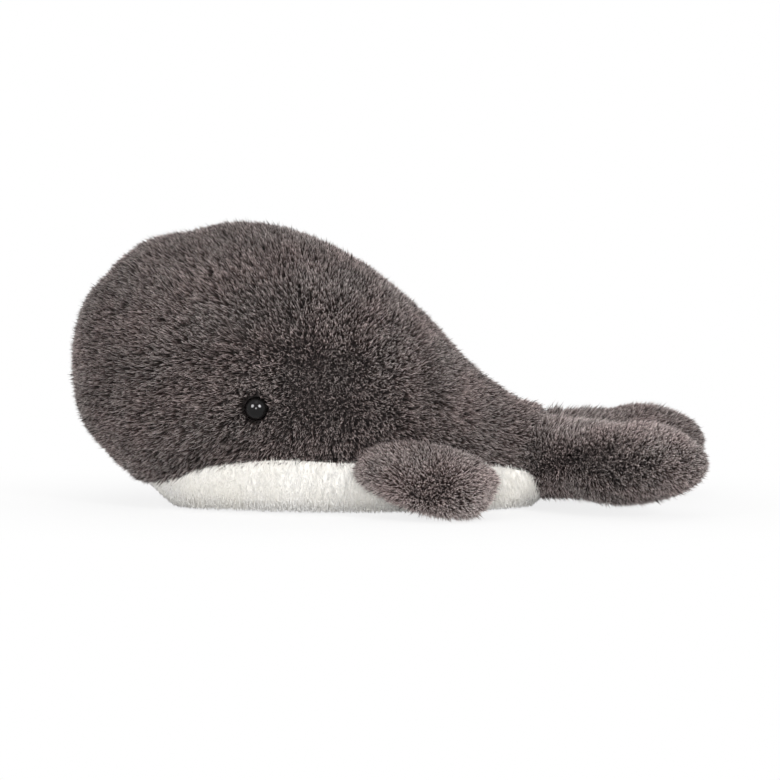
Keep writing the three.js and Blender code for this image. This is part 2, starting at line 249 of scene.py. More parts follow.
def section_point(rows, turn):
    """Points of sections whose widest line is between two round halves."""
    x, top, bottom, half_width, roundness = np.moveaxis(rows, -1, 0)
    widest = bottom + WIDEST_HEIGHT_SHARE * (top - bottom)
    upper = np.sin(turn) >= 0
    power = 2 / np.where(upper, UPPER_ROUNDNESS, roundness)
    across = np.abs(np.cos(turn)) ** power * np.sign(np.cos(turn))
    rise = np.abs(np.sin(turn)) ** power * np.where(upper, top - widest, bottom - widest)
    return np.stack([x, half_width * across, widest + rise], axis=-1)


def half_width_at(x, z):
    """Half the body's width at places along it and heights; zero outside it."""
    columns = (np.interp(x, dense_rows[:, 0], dense_rows[:, k]) for k in range(1, 5))
    top, bottom, half_width, roundness = columns
    widest = bottom + WIDEST_HEIGHT_SHARE * (top - bottom)
    power = np.where(z > widest, UPPER_ROUNDNESS, roundness)
    rise = np.abs((z - widest) / np.maximum(np.where(z > widest, top - widest, widest - bottom), TINY))
    within = (x > dense_rows[0, 0]) & (x < dense_rows[-1, 0])
    return half_width * np.clip(1 - rise**power, 0, 1) ** (1 / power) * within


def lower_roundness(share):
    return smooth_rows(WHALE_ROWS, past_body_end, share * BODY_SPANS)[..., 4]


def round_angle(turn, upper_power, lower_power):
    """Another way to count the turn of a section's point, from powers for its upper and lower half."""
    power = np.where(np.sin(turn) >= 0, upper_power, lower_power)
    rise = np.sign(np.sin(turn)) * np.abs(np.sin(turn)) ** power
    across = np.sign(np.cos(turn)) * np.abs(np.cos(turn)) ** power
    return np.arctan2(rise, across) % (2 * math.pi)


def even_to_turn(share, angle):
    """The turn of the point that lies at an angle from the widest line, which spreads evenly round it."""
    return round_angle(angle, UPPER_ROUNDNESS / 2, lower_roundness(share) / 2)


def turn_to_even(share, turn):
    return round_angle(turn, 2 / UPPER_ROUNDNESS, 2 / lower_roundness(share))


SLOPE_SHARE = 0.001  # step of a slope, as a share of a surface's length or of a turn
POLE_SHARE = 0.003  # how near to its ends a form's slope is read


def body_skin(share, turn):
    """Points of the body's outer surface and the directions that it faces there."""
    def at(s, t):
        return section_point(smooth_rows(WHALE_ROWS, past_body_end, s * BODY_SPANS), t)
    inner_share = np.clip(share, POLE_SHARE, 1 - POLE_SHARE)
    along = at(inner_share + SLOPE_SHARE, turn) - at(inner_share - SLOPE_SHARE, turn)
    around = at(inner_share, turn + SLOPE_SHARE) - at(inner_share, turn - SLOPE_SHARE)
    return at(share, turn), unit(np.cross(around, along))


def body_face(share, angle):
    """The body's surface, read at angles that spread evenly round its sections."""
    return body_skin(share, even_to_turn(share, angle))


class Lobe:
    """A stuffed limb's form along +X with its chord along Y, put in its place by a matrix."""

    def __init__(self, shares, length, chord, thickness, whorl_share):
        self.shares = shares
        self.whorl_share = whorl_share
        self.size = np.array([length, chord / 2, thickness / 2])
        self.place = np.eye(4)

    def put(self, place):
        self.place = np.array(place)
        return self

    def at(self, share, turn):
        rows = smooth_rows(self.shares, past_lobe_end, share * (len(self.shares) - 1))
        along, wide, thick = np.moveaxis(rows, -1, 0)
        return np.stack([along, wide * np.cos(turn), thick * np.sin(turn)], axis=-1) * self.size

    def skin(self, share, turn):
        """Points of the limb's outer surface and the directions that it faces there."""
        inner_share = np.clip(share, POLE_SHARE, 1 - POLE_SHARE)
        along = self.at(inner_share + SLOPE_SHARE, turn) - self.at(inner_share - SLOPE_SHARE, turn)
        around = self.at(inner_share, turn + SLOPE_SHARE) - self.at(inner_share, turn - SLOPE_SHARE)
        turned = self.place[:3, :3].T
        return self.at(share, turn) @ turned + self.place[:3, 3], unit(np.cross(around, along)) @ turned

    def shares_of(self, points):
        """Where points lie, as shares of the limb's length, half chord and half thickness."""
        return (points - self.place[:3, 3]) @ self.place[:3, :3] / self.size

    def depth(self, points):
        """How deep points lie in the limb, as a share: 1 on its middle line and 0 on its skin."""
        local = self.shares_of(points)
        rows = smooth_rows(self.shares, past_lobe_end, np.linspace(0, len(self.shares) - 1, DENSE))
        wide, thick = (np.interp(local[:, 0], rows[:, 0], rows[:, k], left=0, right=0) for k in (1, 2))
        return 1 - np.hypot(local[:, 1] / np.maximum(wide, TINY), local[:, 2] / np.maximum(thick, TINY))


def left_side(x, z):
    """A point of the body's left side and the direction that it faces."""
    step = SLOPE_SHARE * BODY_LENGTH
    along_slope = (half_width_at(x + step, z) - half_width_at(x - step, z)) / (2 * step)
    height_slope = (half_width_at(x, z + step) - half_width_at(x, z - step)) / (2 * step)
    outward = Vector((-along_slope, -1, -height_slope)).normalized()
    along = Vector((1, -along_slope, 0)).normalized()
    return Vector((x, -half_width_at(x, z), z)), outward, along


# Places of the limbs and eyes of the left side

def flipper_place():
    flipper_x = NOSE_X + FLIPPER_ALONG_SHARE * BODY_LENGTH
    point, outward, along = left_side(flipper_x, float(seam_height(flipper_x)))
    hinge = point + SEAM_GAP * outward
    droop = math.asin((hinge.z - FLIPPER_THICKNESS / 2) / (FLIPPER_REST_SHARE * FLIPPER_LENGTH))
    to_nose = -along
    level = -to_nose.cross(Vector((0, 0, 1)))
    out = level * math.cos(droop)
    out.z = -math.sin(droop)
    up = to_nose.cross(out)
    basis = Matrix((to_nose, out, up)).transposed().to_4x4()
    sweep = Matrix.Rotation(math.pi / 2 + FLIPPER_SWEEP, 4, "Z")
    root = Matrix.Translation((-FLIPPER_ROOT_DEPTH, 0, 0))
    return Matrix.Translation(hinge) @ basis @ sweep @ root, hinge, out


REACH_STEPS = 60  # readings of the flukes' form each way, to find how far they reach


def fluke_place():
    turn = Matrix.Rotation(-FLUKE_SPLAY, 4, "Z") @ Matrix.Rotation(-FLUKE_LIFT, 4, "Y")
    steps = np.linspace(0, 1, REACH_STEPS)
    share, around = np.meshgrid(steps, 2 * math.pi * steps)
    points, _ = FLUKE.put(turn).skin(share, around)
    start = (OVERALL_LENGTH / 2 - points[..., 0].max(), -FLUKE_ROOT_OFFSET, TAIL_Z - FLUKE_ROOT_DROP)
    return Matrix.Translation(start) @ turn


FLIPPER = Lobe(
    FLIPPER_SHARES,
    FLIPPER_LENGTH + FLIPPER_ROOT_DEPTH,
    FLIPPER_CHORD,
    FLIPPER_THICKNESS,
    FLIPPER_WHORL_SHARE,
)
FLUKE = Lobe(FLUKE_SHARES, FLUKE_LENGTH, FLUKE_CHORD, FLUKE_THICKNESS, FLUKE_WHORL_SHARE)
flipper_matrix, FLIPPER_HINGE, FLIPPER_OUT = flipper_place()
FLIPPER.put(flipper_matrix)
FLUKE.put(fluke_place())
EYE_POINT, EYE_OUTWARD, _ = left_side(NOSE_X + EYE_ALONG_SHARE * BODY_LENGTH, EYE_HEIGHT_SHARE * BODY_HEIGHT)


# Camera
CENTRE_PLANE_WIDTH = 0.2964  # what the photograph's frame spans in the whale's middle plane
CAMERA_DISTANCE = 1.6
CAMERA_ELEVATION = math.radians(5)
CAMERA_SIDESTEP = math.radians(3.3)  # towards the tail
AIM_HEIGHT = 0.0433
SENSOR = 36  # millimetres, as Blender has it
FARTHEST_SEEN = 100


def make_camera():
    data = bpy.data.cameras.new("camera")
    data.sensor_width = SENSOR
    data.lens = SENSOR * CAMERA_DISTANCE / CENTRE_PLANE_WIDTH
    data.clip_end = FARTHEST_SEEN
    camera = bpy.data.objects.new("camera", data)
    bpy.context.scene.collection.objects.link(camera)
    aside, forward = math.sin(CAMERA_SIDESTEP), math.cos(CAMERA_SIDESTEP)
    level = math.cos(CAMERA_ELEVATION)
    back = Vector((aside * level, -forward * level, math.sin(CAMERA_ELEVATION)))
    camera.location = Vector((0, 0, AIM_HEIGHT)) + CAMERA_DISTANCE * back
    camera.rotation_mode = "QUATERNION"
    camera.rotation_quaternion = (-back).to_track_quat("-Z", "Y")
    bpy.context.scene.camera = camera


# Nodes of materials

class Wire:
    """A node's output; sums on it add Math nodes."""

    def __init__(self, finish, socket):
        self.finish = finish
        self.socket = socket

    def math(self, operation, first, second):
        return self.finish.node("ShaderNodeMath", {"operation": operation}, {0: first, 1: second})

    def __add__(self, other):
        return self.math("ADD", self, other)

    def __sub__(self, other):
        return self.math("SUBTRACT", self, other)

    def __rsub__(self, other):
        return self.math("SUBTRACT", other, self)

    def __mul__(self, other):
        return self.math("MULTIPLY", self, other)

    def __truediv__(self, other):
        return self.math("DIVIDE", self, other)

    def floor(self):
        return self.finish.node("ShaderNodeMath", {"operation": "FLOOR"}, {0: self})

    __radd__ = __add__
    __rmul__ = __mul__


class Finish:
    """The node tree of a material or of the world."""

    def __init__(self, owner):
        owner.use_nodes = True
        self.owner = owner
        self.tree = owner.node_tree
        self.tree.nodes.clear()

    def node(self, kind, settings=None, inputs=None, output=0):
        made = self.tree.nodes.new(kind)
        for name, value in (settings or {}).items():
            if name == "stops":
                self.set_stops(made.color_ramp, value)
            else:
                setattr(made, name, value)
        for name, value in (inputs or {}).items():
            socket = made.inputs[name]
            if isinstance(value, Wire):
                self.tree.links.new(value.socket, socket)
            else:
                socket.default_value = value
        return Wire(self, made.outputs[output]) if len(made.outputs) else None

    @staticmethod
    def set_stops(ramp, stops):
        while len(ramp.elements) > 1:
            ramp.elements.remove(ramp.elements[-1])
        ramp.elements[0].position, ramp.elements[0].color = stops[0]
        for position, colour in stops[1:]:
            ramp.elements.new(position).color = colour

    def seen(self):
        """One for what the camera sees, straight or by a reflection, and zero for what only lights."""
        straight = self.node("ShaderNodeLightPath", output="Is Camera Ray")
        glossy = self.node("ShaderNodeLightPath", output="Is Glossy Ray")
        return straight + glossy + self.node("ShaderNodeLightPath", output="Is Transmission Ray")

    def mix_colours(self, factor, first, second, blend_type="MIX"):
        settings = {"data_type": "RGBA", "blend_type": blend_type}
        return self.node("ShaderNodeMix", settings, {0: factor, 6: first, 7: second}, output=2)

    def surface(self, inputs):
        shader = self.node("ShaderNodeBsdfPrincipled", None, inputs)
        self.node("ShaderNodeOutputMaterial", None, {"Surface": shader})
        return self.owner

    def relief(self, height, strength, depth, inputs):
        """A surface whose fine relief follows a height from 0 to 1, as deep as a depth says."""
        bump = {"Strength": strength, "Distance": depth, "Height": height}
        return self.surface({**inputs, "Normal": self.node("ShaderNodeBump", None, bump)})


def srgb(red, green, blue):
    """A linear colour from 8-bit values."""
    def linear(value):
        share = value / 255
        return share / 12.92 if share <= 0.04045 else ((share + 0.055) / 1.055) ** 2.4
    return (linear(red), linear(green), linear(blue), 1)


# Stage
AMBIENT = 0.58  # radiance of the room on the object; white is 1
FLOOR_TONE = 0.97
FLOOR_SIZE = 12
SHADOW_REACH = 0.15  # distance from the whale's middle line at which the floor turns plain white
SHADOW_FADE = 0.12
LEAST_WHITE_SHARE = 0.8  # of plain white in the floor under the whale
SHADOW_WIDTH_SHARE = 0.62  # the shadow's oval is longer along the whale by this
NOSE_LAMP_STRENGTH = 0.38
TAIL_LAMP_STRENGTH = 0.98
TOP_LAMP_STRENGTH = 0.2
FRONT_LAMP_ASIDE = 37.5  # degrees to either side of the camera
FRONT_LAMP_HEIGHT = 27  # degrees above the floor
TOP_LAMP_HEIGHT = 66
FILL_LAMP_STRENGTH = 1.25
FILL_LAMP_HEIGHT = 8
FILL_LAMP_SPREAD = math.radians(16)
FRONT_LAMP_SPREAD = math.radians(12)
TOP_LAMP_SPREAD = math.radians(28)
CATCH_LAMP_STRENGTH = 4.5  # the eyes' bright spots; these lamps light nothing else
CATCH_LAMP_SPREAD = math.radians(28)


def add_lamp(name, aside, height, strength, spread):
    data = bpy.data.lights.new(name, "SUN")
    data.energy = strength
    data.angle = spread
    lamp = bpy.data.objects.new(name, data)
    bpy.context.scene.collection.objects.link(lamp)
    aside, height = math.radians(aside), math.radians(height)
    level = math.cos(height)
    towards = Vector((math.sin(aside) * level, -math.cos(aside) * level, math.sin(height)))
    lamp.rotation_mode = "QUATERNION"
    lamp.rotation_quaternion = (-towards).to_track_quat("-Z", "Y")
    return lamp


def make_world():
    world = bpy.data.worlds.new("studio")
    bpy.context.scene.world = world
    finish = Finish(world)
    room = finish.node("ShaderNodeBackground", None, {"Color": (1, 1, 1, 1), "Strength": AMBIENT})
    white = finish.node("ShaderNodeBackground", None, {"Color": (1, 1, 1, 1), "Strength": 1})
    shader = finish.node("ShaderNodeMixShader", None, {0: finish.seen(), 1: room, 2: white})
    finish.node("ShaderNodeOutputWorld", None, {"Surface": shader})


def floor_finish():
    """White card that keeps the whale's shadow and turns plain white farther out."""
    finish = Finish(bpy.data.materials.new("studio_floor"))
    place = finish.node("ShaderNodeTexCoord", output="Object")
    oval = (SHADOW_WIDTH_SHARE, 1, 0)
    flat = finish.node("ShaderNodeVectorMath", {"operation": "MULTIPLY"}, {0: place, 1: oval})
    distance = finish.node("ShaderNodeVectorMath", {"operation": "LENGTH"}, {0: flat}, output="Value")
    inputs = {
        "Value": distance,
        "From Min": SHADOW_REACH - SHADOW_FADE,
        "From Max": SHADOW_REACH,
        "To Min": LEAST_WHITE_SHARE,
    }
    far = finish.node("ShaderNodeMapRange", {"interpolation_type": "SMOOTHSTEP"}, inputs)
    tone = (FLOOR_TONE, FLOOR_TONE, FLOOR_TONE, 1)
    card = finish.node("ShaderNodeBsdfDiffuse", None, {"Color": tone})
    plain = finish.node("ShaderNodeEmission", None, {"Color": (1, 1, 1, 1), "Strength": 1})
    shader = finish.node("ShaderNodeMixShader", None, {0: far * finish.seen(), 1: card, 2: plain})
    finish.node("ShaderNodeOutputMaterial", None, {"Surface": shader})
    return finish.owner


def make_stage():
    make_world()
    add_lamp("nose_lamp", -FRONT_LAMP_ASIDE, FRONT_LAMP_HEIGHT, NOSE_LAMP_STRENGTH, FRONT_LAMP_SPREAD)
    add_lamp("tail_lamp", FRONT_LAMP_ASIDE, FRONT_LAMP_HEIGHT, TAIL_LAMP_STRENGTH, FRONT_LAMP_SPREAD)
    add_lamp("top_lamp", 0, TOP_LAMP_HEIGHT, TOP_LAMP_STRENGTH, TOP_LAMP_SPREAD)
    add_lamp("fill_lamp", 0, FILL_LAMP_HEIGHT, FILL_LAMP_STRENGTH, FILL_LAMP_SPREAD)
    half = FLOOR_SIZE / 2
    corners = [(-half, -half, 0), (half, -half, 0), (half, half, 0), (-half, half, 0)]
    mesh = bpy.data.meshes.new("floor")
    mesh.from_pydata(corners, [], [(0, 1, 2, 3)])
    mesh.materials.append(floor_finish())
    floor = bpy.data.objects.new("floor", mesh)
    bpy.context.scene.collection.objects.link(floor)


# Finishes
UV_NAME = "OFBake"
# The grey strands darken towards their roots: partly their own tone, partly painted shade that deepens the
# shade down in the pile.
GREY_PILE_STOPS = [
    (0.0, srgb(25, 16, 15)),
    (0.5, srgb(33, 24, 23)),
    (0.7, srgb(74, 64, 62)),
    (0.88, srgb(155, 145, 142)),
    (1.0, srgb(231, 221, 216)),
]
WHITE_PILE_STOPS = [
    (0.0, srgb(248, 244, 236)),
    (0.25, srgb(253, 251, 248)),
    (1.0, srgb(254, 253, 251)),
]
GREY_TINTS = ((0.96, 0.98, 0.985, 1), (1.02, 0.975, 0.98, 1))
WHITE_TINTS = ((1, 1, 1, 1), (1, 0.99, 0.96, 1))
TINT_BANDS = 4  # the map's width holds this many bands of tones, from the cool tint to the warm one
ROOT_ROUGHNESS = 0.68
TIP_SMOOTHER = 0.16
STITCH_SHARE = 0.6  # of the knit's relief; the rest is fuzz
STITCH_WAVER = 2.5
FUZZ_FINENESS = 3  # how much finer the fuzz is than the stitches
KNIT_RELIEF = 0.0002
FIBRE_RELIEF = 0.0006
EYE_RELIEF = 0.0001
WASHER_RELIEF = 0.0001
PLUSH_KNIT_SCALE = 1400
POUCH_KNIT_SCALE = 1800
FIBRE_SCALE = 900
EYE_RIPPLE_SCALE = 350
WASHER_GRAIN_SCALE = 1200


def pile_finish(name, stops, contrast, tints, sheen, sheen_tint):
    """Pile whose strands go from dark roots to light tips, each a little lighter or darker than the next."""
    finish = Finish(bpy.data.materials.new(name))
    strand = finish.node("ShaderNodeUVMap", {"uv_map": UV_NAME})
    across = TINT_BANDS * finish.node("ShaderNodeSeparateXYZ", None, {0: strand}, output="X")
    height = finish.node("ShaderNodeSeparateXYZ", None, {0: strand}, output="Y")
    band = across.floor()
    tone = across - band
    tint = finish.mix_colours(band / (TINT_BANDS - 1), *tints)
    colour = finish.node("ShaderNodeValToRGB", {"stops": stops}, {0: height})
    colour = finish.mix_colours(1, colour, tint, "MULTIPLY")
    brightness = 1 + (tone - MIDDLE_SHARE) * contrast
    shade = finish.node("ShaderNodeCombineXYZ", None, {0: brightness, 1: brightness, 2: brightness})
    colour = finish.mix_colours(1, colour, shade, "MULTIPLY")
    return finish.surface({
        "Base Color": colour,
        "Roughness": ROOT_ROUGHNESS - TIP_SMOOTHER * height,
        "Specular IOR Level": 0.14,
        "Sheen Weight": sheen,
        "Sheen Roughness": 0.45,
        "Sheen Tint": sheen_tint,
    })


def cloth_finish(name, valley, ridge, knit_scale):
    """Knitted backing cloth: rows of stitches with a soft bump."""
    finish = Finish(bpy.data.materials.new(name))
    place = finish.node("ShaderNodeTexCoord", output="Object")
    rows = {"Vector": place, "Scale": knit_scale, "Distortion": STITCH_WAVER}
    stitches = finish.node("ShaderNodeTexWave", None, rows, output="Fac")
    grain = {"Vector": place, "Scale": knit_scale * FUZZ_FINENESS}
    fuzz = finish.node("ShaderNodeTexNoise", None, grain, output="Fac")
    height = stitches * STITCH_SHARE + fuzz * (1 - STITCH_SHARE)
    return finish.relief(height, 0.4, KNIT_RELIEF, {
        "Base Color": finish.mix_colours(height, valley, ridge),
        "Roughness": 0.95 - 0.1 * fuzz,
    })


def fibre_finish():
    """Matted polyester fibre."""
    finish = Finish(bpy.data.materials.new("stuffing_fibre"))
    place = finish.node("ShaderNodeTexCoord", output="Object")
    tangle = {"Vector": place, "Scale": FIBRE_SCALE, "Detail": 6, "Distortion": 3}
    fibres = finish.node("ShaderNodeTexNoise", None, tangle, output="Fac")
    return finish.relief(fibres, 0.7, FIBRE_RELIEF, {
        "Base Color": finish.mix_colours(fibres, srgb(214, 213, 208), srgb(246, 246, 243)),
        "Roughness": 0.9,
        "Sheen Weight": 0.3,
    })


def eye_finish():
    """Moulded black gloss, with the faint orange peel of a polished moulding."""
    finish = Finish(bpy.data.materials.new("eye_gloss"))
    place = finish.node("ShaderNodeTexCoord", output="Object")
    waves = {"Vector": place, "Scale": EYE_RIPPLE_SCALE}
    ripple = finish.node("ShaderNodeTexNoise", None, waves, output="Fac")
    return finish.relief(ripple, 0.03, EYE_RELIEF, {
        "Base Color": finish.mix_colours(ripple, srgb(9, 8, 8), srgb(14, 13, 13)),
        "Roughness": 0.05 + 0.03 * ripple,
        "Specular IOR Level": 0.2,
    })


def washer_finish():
    """Matte natural plastic with fine moulding grain."""
    finish = Finish(bpy.data.materials.new("washer_plastic"))
    place = finish.node("ShaderNodeTexCoord", output="Object")
    specks = {"Vector": place, "Scale": WASHER_GRAIN_SCALE, "Detail": 4}
    grain = finish.node("ShaderNodeTexNoise", None, specks, output="Fac")
    return finish.relief(grain, 0.25, WASHER_RELIEF, {
        "Base Color": finish.mix_colours(grain, srgb(206, 206, 200), srgb(226, 226, 221)),
        "Roughness": 0.45 + 0.2 * grain,
    })


# Meshes
WELD_DISTANCE = 0.00002
FLOOR_CLEARANCE = 0.00015


def add_mesh(name, points, loops, starts):
    """A mesh object from arrays: points, the corners of all faces, and each face's first corner."""
    mesh = bpy.data.meshes.new(name)
    mesh.vertices.add(len(points))
    mesh.vertices.foreach_set("co", np.ascontiguousarray(points, np.float32).ravel())
    mesh.loops.add(len(loops))
    mesh.loops.foreach_set("vertex_index", np.ascontiguousarray(loops, np.int32))
    mesh.polygons.add(len(starts))
    mesh.polygons.foreach_set("loop_start", np.ascontiguousarray(starts, np.int32))
    mesh.update(calc_edges=True)
    mesh.validate()
    mesh.shade_smooth()
    piece = bpy.data.objects.new(name, mesh)
    bpy.context.scene.collection.objects.link(piece)
    return piece


def weld(piece):
    """Joins points that lie on each other, and drops the faces that this leaves without area."""
    mesh = piece.data
    shape = bmesh.new()
    shape.from_mesh(mesh)
    bmesh.ops.remove_doubles(shape, verts=shape.verts, dist=WELD_DISTANCE)
    bmesh.ops.dissolve_degenerate(shape, edges=shape.edges, dist=WELD_DISTANCE)
    bmesh.ops.recalc_face_normals(shape, faces=shape.faces)
    shape.to_mesh(mesh)
    shape.free()
    mesh.shade_smooth()
    return piece


def shell_sheet(name, outer, inner):
    """A closed sheet from two grids of points: its outer and its inner face."""
    rows, columns = outer.shape[:2]
    points = np.concatenate([outer.reshape(-1, 3), inner.reshape(-1, 3)])
    index = np.arange(rows * columns).reshape(rows, columns)
    below = index + rows * columns

    def quads(a, b, c, d):
        return np.stack([a.ravel(), b.ravel(), c.ravel(), d.ravel()], axis=-1)

    faces = [
        quads(index[:-1, :-1], index[1:, :-1], index[1:, 1:], index[:-1, 1:]),
        quads(below[:-1, :-1], below[:-1, 1:], below[1:, 1:], below[1:, :-1]),
        quads(index[0, :-1], index[0, 1:], below[0, 1:], below[0, :-1]),
        quads(index[-1, 1:], index[-1, :-1], below[-1, :-1], below[-1, 1:]),
        quads(index[1:, 0], index[:-1, 0], below[:-1, 0], below[1:, 0]),
        quads(index[:-1, -1], index[1:, -1], below[1:, -1], below[:-1, -1]),
    ]
    faces = np.concatenate(faces)
    return weld(add_mesh(name, points, faces.ravel(), np.arange(len(faces)) * 4))


BEND_SHARE = 0.62  # where along its length a strand bends and starts to taper
STRAND_CORNERS = np.array([0, 1, 4, 3, 1, 2, 5, 4, 2, 0, 3, 5, 3, 4, 6, 4, 5, 6, 5, 3, 6, 0, 2, 1])
STRAND_STARTS = np.array([0, 4, 8, 12, 15, 18, 21])
# Where each of those corners lies on the strand's map: share of its width, and share of its length.
STRAND_MAP = np.array([
    *[(0, 0), (1, 0), (1, BEND_SHARE), (0, BEND_SHARE)] * 3,
    *[(0, BEND_SHARE), (1, BEND_SHARE), (0.5, 1)] * 3,
    *[(0, 0), (1, 0), (0.5, 0.02)],
])
MAP_WIDTH_SHARE = 0.004
BEND_WIDTH_SHARE = 0.9  # a strand's width at its bend, as a share of its width at the root


def strand_mesh(name, root, control, tip, width, tone, band):
    """Closed tapered strands of three sides that bend once, with a map that runs from root to tip."""
    count = len(root)
    middle = ((1 - BEND_SHARE) ** 2 * root + 2 * BEND_SHARE * (1 - BEND_SHARE) * control
              + BEND_SHARE**2 * tip)
    across = unit(np.cross(tip - root, rng.normal(size=(count, 3))))
    other = unit(np.cross(tip - root, across))
    points = np.empty((count, 7, 3))
    for side in range(3):
        turn = 2 * math.pi * side / 3
        ring = width[:, None] / 2 * (math.cos(turn) * across + math.sin(turn) * other)
        points[:, side] = root + ring
        points[:, side + 3] = middle + ring * BEND_WIDTH_SHARE
    points[:, 6] = tip
    points[..., 2] = np.maximum(points[..., 2], FLOOR_CLEARANCE)
    loops = (STRAND_CORNERS + 7 * np.arange(count)[:, None]).ravel()
    starts = (STRAND_STARTS + len(STRAND_CORNERS) * np.arange(count)[:, None]).ravel()
    piece = add_mesh(name, points.reshape(-1, 3), loops, starts)
    map_points = np.empty((count, len(STRAND_CORNERS), 2))
    across = (1 - MAP_WIDTH_SHARE) * tone[:, None] + MAP_WIDTH_SHARE * STRAND_MAP[:, 0]
    map_points[..., 0] = (band[:, None] + across) / TINT_BANDS
    map_points[..., 1] = STRAND_MAP[:, 1]
    layer = piece.data.uv_layers.new(name=UV_NAME)
    layer.data.foreach_set("uv", map_points.astype(np.float32).ravel())
    return piece


# Cloth panels
ALONG_STEPS = 90
AROUND_STEPS = 40
SEAM_TURN = 0.004  # how far from a seam's line a cloth ends, as a turn about the section
LEAST_BELLY_TURN = 0.02  # where the seam is nearer to the bottom line than this, no white cloth shows


def seam_turn(share):
    """The turn of the left seam on each section of the body, between its widest line and its bottom."""
    rows = smooth_rows(WHALE_ROWS, past_body_end, share * BODY_SPANS)
    x, top, bottom, _, roundness = np.moveaxis(rows, -1, 0)
    widest = bottom + WIDEST_HEIGHT_SHARE * (top - bottom)
    drop = np.clip((widest - seam_height(x)) / np.maximum(widest - bottom, TINY), 0, 1)
    return math.pi + np.arcsin(drop ** (roundness / 2))


def side_share(step_share):
    """Spreads rows closer together at the two ends of the body."""
    return (1 - np.cos(math.pi * step_share)) / 2


def body_cloth(name, first_turn, last_turn, shares, depth):
    share = np.repeat(shares[:, None], AROUND_STEPS + 1, axis=1)
    way = np.linspace(0, 1, AROUND_STEPS + 1)
    first_angle, last_angle = turn_to_even(shares, first_turn), turn_to_even(shares, last_turn)
    points, facing = body_face(share, first_angle[:, None] * (1 - way) + last_angle[:, None] * way)
    return shell_sheet(name, points - depth(points[..., :1]) * facing, points - PLUSH_THICKNESS * facing)


def for_side(piece, side):
    """Every piece is made for the whale's left; for its right it is mirrored."""
    if side == "right":
        piece.data.transform(Matrix.Scale(-1, 4, (0, 1, 0)))
        piece.data.flip_normals()
    return piece


# Pile
STRANDS_IN_TUFT = 2
MOST_STRANDS = 19900  # in one piece, so that its mesh stays light
Pile = namedtuple("Pile", "density root_depth height width tuft_radius tip_spread ripple jitter guard")
GREY_PILE = Pile(
    density=2.4e6,  # tufts to the square metre
    root_depth=CLOTH_DEPTH + ROOT_SINK,
    height=0.0045,
    width=0.00030,
    tuft_radius=0.00024,
    tip_spread=0.00022,
    ripple=0.14,
    jitter=0.17,
    guard=0.28,  # how much farther the longest strands reach
)
WHITE_PILE = Pile(
    density=1.5e6,
    root_depth=BELLY_CLOTH_DEPTH + ROOT_SINK,
    height=0.0010,
    width=0.00022,
    tuft_radius=0.0003,
    tip_spread=0.00015,
    ripple=0.12,
    jitter=0.15,
    guard=0.0,
)


WAVES = 6
WAVE_SIZE_SHARES = (0.6, 1.5)  # the waves' rates lie between these shares of the plain one
COMB_WAVES = {"size": 0.012, "seed": 11}
TONE_WAVES = {"size": 0.02, "seed": 23}
TINT_WAVES = {"size": 0.022, "seed": 41}
LUMP_WAVES = {"size": 0.009, "seed": 31}


def wave_noise(points, size, seed):
    """A smooth field of vectors whose swings are about as long as a size."""
    source = np.random.default_rng(seed)
    total = np.zeros_like(points)
    for _ in range(WAVES):
        wave = source.normal(size=3)
        wave *= 2 * math.pi / size / np.linalg.norm(wave) * source.uniform(*WAVE_SIZE_SHARES)
        phase = source.uniform(0, 2 * math.pi, 3)
        total += np.sin((points @ wave)[:, None] + phase) * source.normal(size=3)
    return total / math.sqrt(WAVES)


CELLS = 160  # patches each way that a surface is cut into, to spread places evenly over it


def scatter(skin, first_turn, last_turn, density, keep):
    """Random places on a surface, as thick as a density says, where keep allows them."""
    shares = np.linspace(0, 1, CELLS + 1)
    turns = np.linspace(first_turn, last_turn, CELLS + 1)
    share, turn = np.meshgrid(shares, turns, indexing="ij")
    corners, _ = skin(share, turn)
    one_way = corners[1:, 1:] - corners[:-1, :-1]
    other_way = corners[1:, :-1] - corners[:-1, 1:]
    area = np.linalg.norm(np.cross(one_way, other_way), axis=-1).ravel() / 2
    count = int(area.sum() * density)
    reach = (np.arange(count) + rng.random(count)) / count * area.sum()
    cell = np.minimum(np.searchsorted(np.cumsum(area), reach), len(area) - 1)
    row, column = np.divmod(cell, CELLS)
    share = shares[row] + rng.random(count) * (shares[1] - shares[0])
    turn = turns[column] + rng.random(count) * (turns[1] - turns[0])
    points, facing = skin(share, turn)
    kept = keep(points, facing)
    return points[kept], facing[kept]


# Spreads of the pile, as shares. Tone and tint run from 0 to 1 with 0.5 as the middle.
HEIGHT_SPREAD_SHARE = 0.1
REACH_SPREAD_SHARE = 0.14
REACH_RANGE_SHARES = (-1.4, 1)
GUARD_SHARE = 0.2  # of the strands, which reach farther than the others
TIP_SWAY_SHARE = 0.35  # of a root's way from its tuft's middle, which its tip keeps
BEND_ALONG_SHARE = 0.35
BEND_RISE_SHARE = 0.3
WIDTH_SPREAD_SHARE = 0.2
WIDTH_RANGE_SHARES = (0.5, 1.6)
TONE_PATCH_SHARE = 0.06
TUFT_TONE_SHARE = 0.23
STRAND_TONE_SHARE = 0.16
TONE_RANGE_SHARES = (0.02, 0.98)
TINT_PATCH_SHARE = 0.3
STRAND_TINT_SHARE = 0.1
TINT_RANGE_SHARES = (0, 0.999)
MIDDLE_SHARE = 0.5


